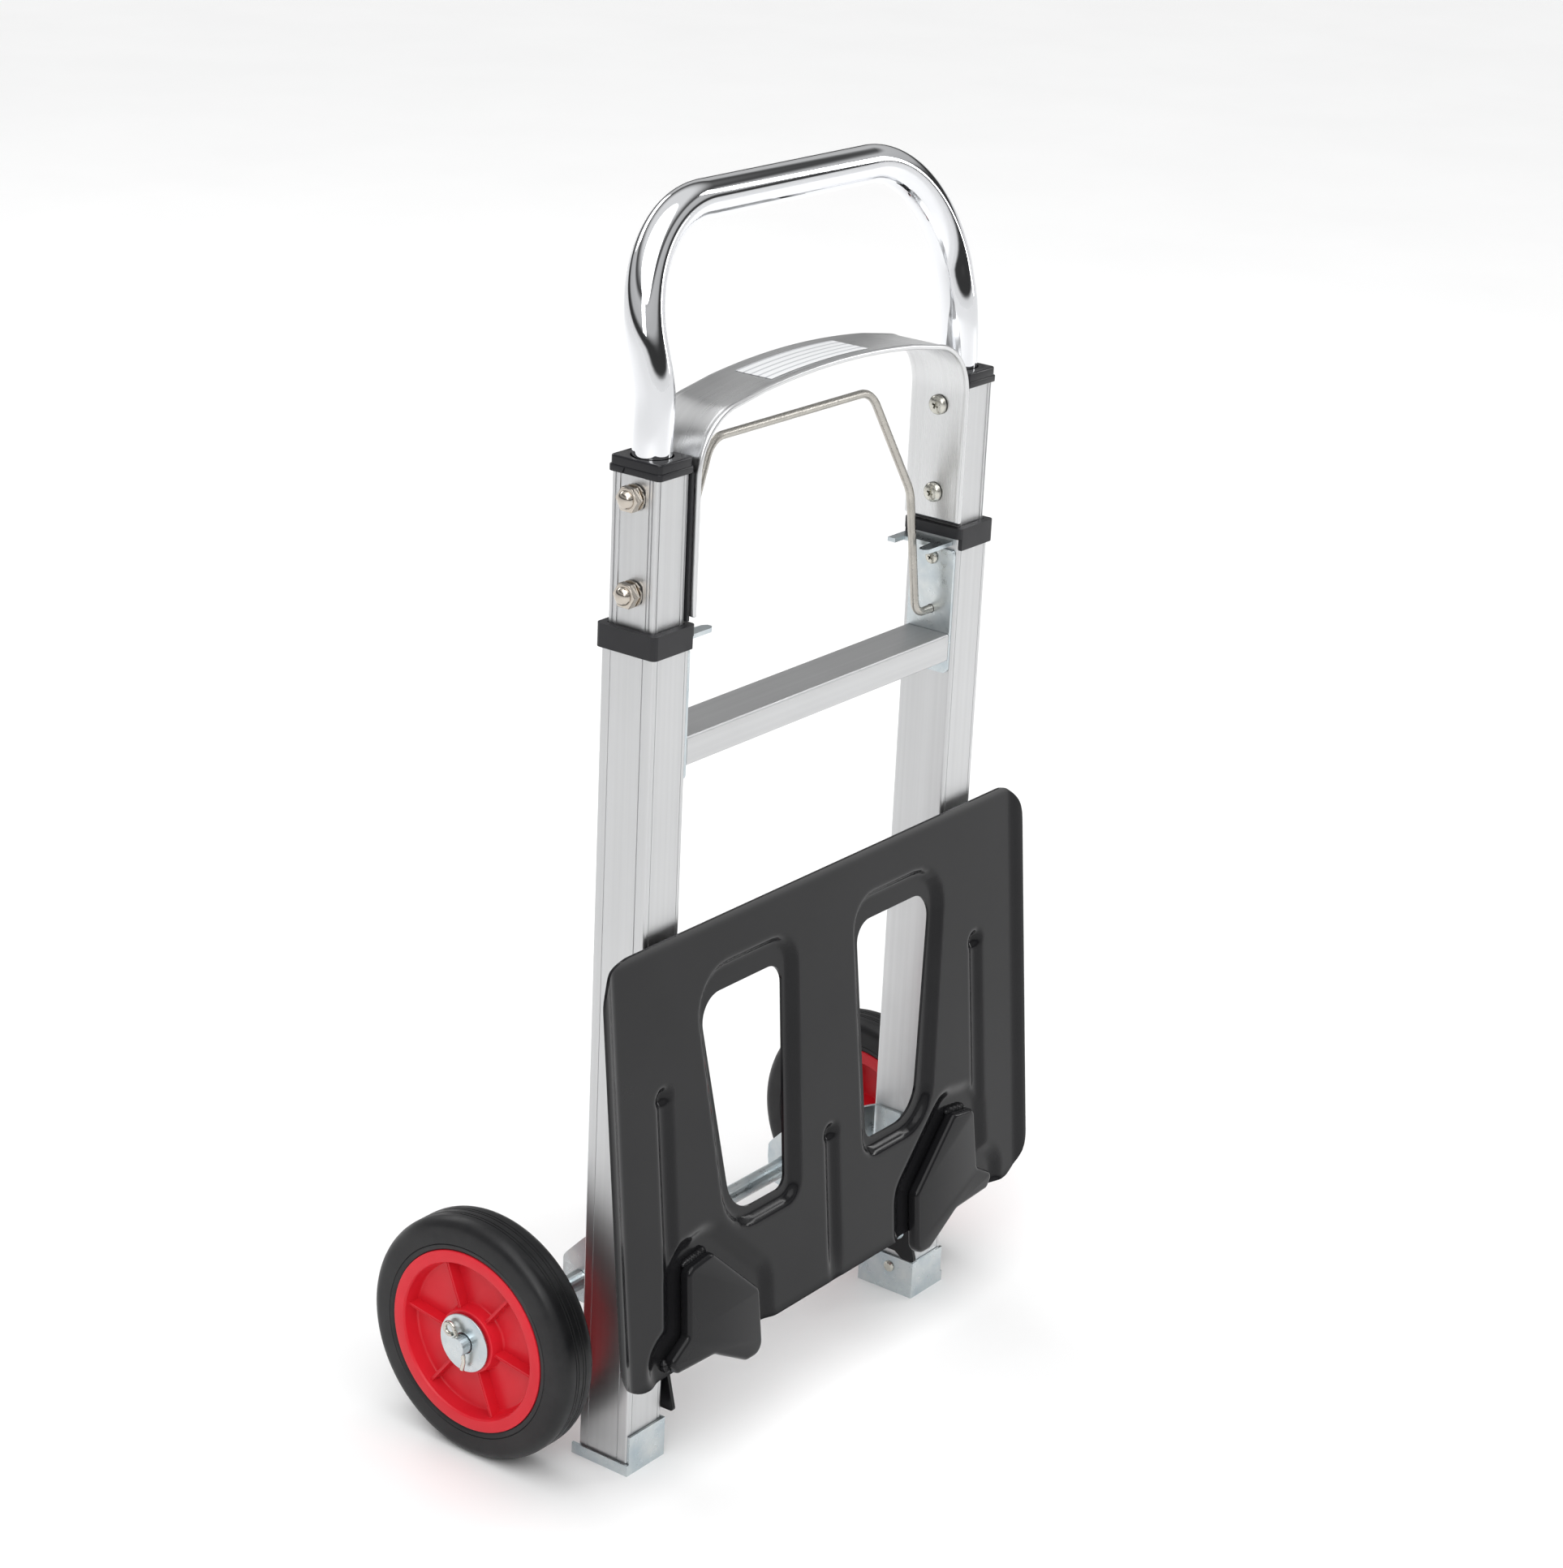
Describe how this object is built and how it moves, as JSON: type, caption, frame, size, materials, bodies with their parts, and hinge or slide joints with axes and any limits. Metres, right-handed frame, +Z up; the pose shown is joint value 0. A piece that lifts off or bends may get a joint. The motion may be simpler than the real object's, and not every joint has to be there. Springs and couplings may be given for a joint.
{
  "type": "folding hand truck",
  "caption": "Folding hand truck with a telescopic handle, a release bail, a fold-up pressed toe plate and wheels on a straight axle.",
  "frame": {"origin": "on the floor, under the middle of the folded truck's box", "axes": "+Z up along the rails, +X to the right seen from the toe plate side, +Y to the rear, where the wheels and the user are"},
  "size_m": [0.425, 0.1963, 0.7395],
  "materials": {
    "brushed_aluminium": "anodised, fine lengthwise brushing",
    "mirror_chrome": "mirror",
    "stainless_wire": "satin",
    "fastener_steel": "bright plated",
    "zinc_plate": "blue-white zinc plate",
    "black_enamel": "gloss",
    "black_collar": "satin",
    "gloss_cap": "gloss",
    "red_hub": "satin",
    "tyre_rubber": "matte"
  },
  "bodies": {
    "root": {"outer_rail_left": "brushed_aluminium", "foot_shoe_left": "zinc_plate", "shoe_rivet_left": "fastener_steel", "rail_collar_left": "black_collar", "lock_plate_left": "zinc_plate", "lock_screw_left": "fastener_steel", "toe_hinge_pin_left": "zinc_plate", "axle_bracket_left": "zinc_plate", "bracket_rivet_left": "zinc_plate", "wheel_washer_left": "zinc_plate", "axle_stop_left": "zinc_plate", "cotter_pin_left": "fastener_steel", "outer_rail_right": "brushed_aluminium", "foot_shoe_right": "zinc_plate", "shoe_rivet_right": "fastener_steel", "rail_collar_right": "black_collar", "lock_plate_right": "zinc_plate", "lock_screw_right": "fastener_steel", "toe_hinge_pin_right": "zinc_plate", "axle_bracket_right": "zinc_plate", "bracket_rivet_right": "zinc_plate", "wheel_washer_right": "zinc_plate", "axle_stop_right": "zinc_plate", "cotter_pin_right": "fastener_steel", "crossbar": "brushed_aluminium", "axle": "zinc_plate"},
    "handle": {"handle_tube": "mirror_chrome", "bridge_strap": "brushed_aluminium", "inner_rail_left": "brushed_aluminium", "rail_cap_left": "gloss_cap", "strap_spacer_left": "black_collar", "inner_rail_right": "brushed_aluminium", "rail_cap_right": "gloss_cap", "strap_spacer_right": "black_collar", "handle_bolt_lower_left": "fastener_steel", "bolt_washer_lower_left": "fastener_steel", "acorn_nut_lower_left": "fastener_steel", "handle_bolt_upper_left": "fastener_steel", "bolt_washer_upper_left": "fastener_steel", "acorn_nut_upper_left": "fastener_steel", "handle_bolt_lower_right": "fastener_steel", "bolt_washer_lower_right": "fastener_steel", "acorn_nut_lower_right": "fastener_steel", "handle_bolt_upper_right": "fastener_steel", "bolt_washer_upper_right": "fastener_steel", "acorn_nut_upper_right": "fastener_steel"},
    "toe": {"toe_plate": "black_enamel", "toe_bracket_left": "black_enamel", "toe_bracket_right": "black_enamel", "toe_arm_left": "black_enamel", "toe_arm_right": "black_enamel"},
    "bail": {"release_bail": "stainless_wire"},
    "fork_left": {"latch_fork_left": "zinc_plate"},
    "fork_right": {"latch_fork_right": "zinc_plate"},
    "wheel_left": {"wheel_hub_left": "red_hub", "tyre_left": "tyre_rubber"},
    "wheel_right": {"wheel_hub_right": "red_hub", "tyre_right": "tyre_rubber"}
  },
  "joints": [
    {"name": "handle_slide", "type": "slide", "parent": "root", "child": "handle", "axis": [0, 0, 1], "range_m": [0, 0.34]},
    {"name": "toe_hinge", "type": "hinge", "parent": "root", "child": "toe", "pos_m": [0, -0.0517, 0.048], "axis": [1, 0, 0], "range_deg": [0, 95.33]},
    {"name": "bail_tilt", "type": "hinge", "parent": "root", "child": "bail", "pos_m": [0, -0.0462, 0.46], "axis": [-1, 0, 0], "range_deg": [0, 8.5], "stiffness_Nm_per_rad": 0.4, "springref_deg": -11.46},
    {"name": "fork_slide_left", "type": "slide", "parent": "root", "child": "fork_left", "axis": [1, 0, 0], "range_m": [0, 0.003]},
    {"name": "fork_slide_right", "type": "slide", "parent": "root", "child": "fork_right", "axis": [-1, 0, 0], "range_m": [0, 0.003]},
    {"name": "wheel_spin_left", "type": "hinge", "parent": "root", "child": "wheel_left", "pos_m": [-0.1889, 0.0231, 0.075], "axis": [1, 0, 0], "continuous": true},
    {"name": "wheel_spin_right", "type": "hinge", "parent": "root", "child": "wheel_right", "pos_m": [0.1889, 0.0231, 0.075], "axis": [1, 0, 0], "continuous": true}
  ],
  "couplings": [
    {"joint": "fork_slide_left", "follows": "bail_tilt", "m_per_rad": 0.02},
    {"joint": "fork_slide_right", "follows": "bail_tilt", "m_per_rad": 0.02}
  ]
}
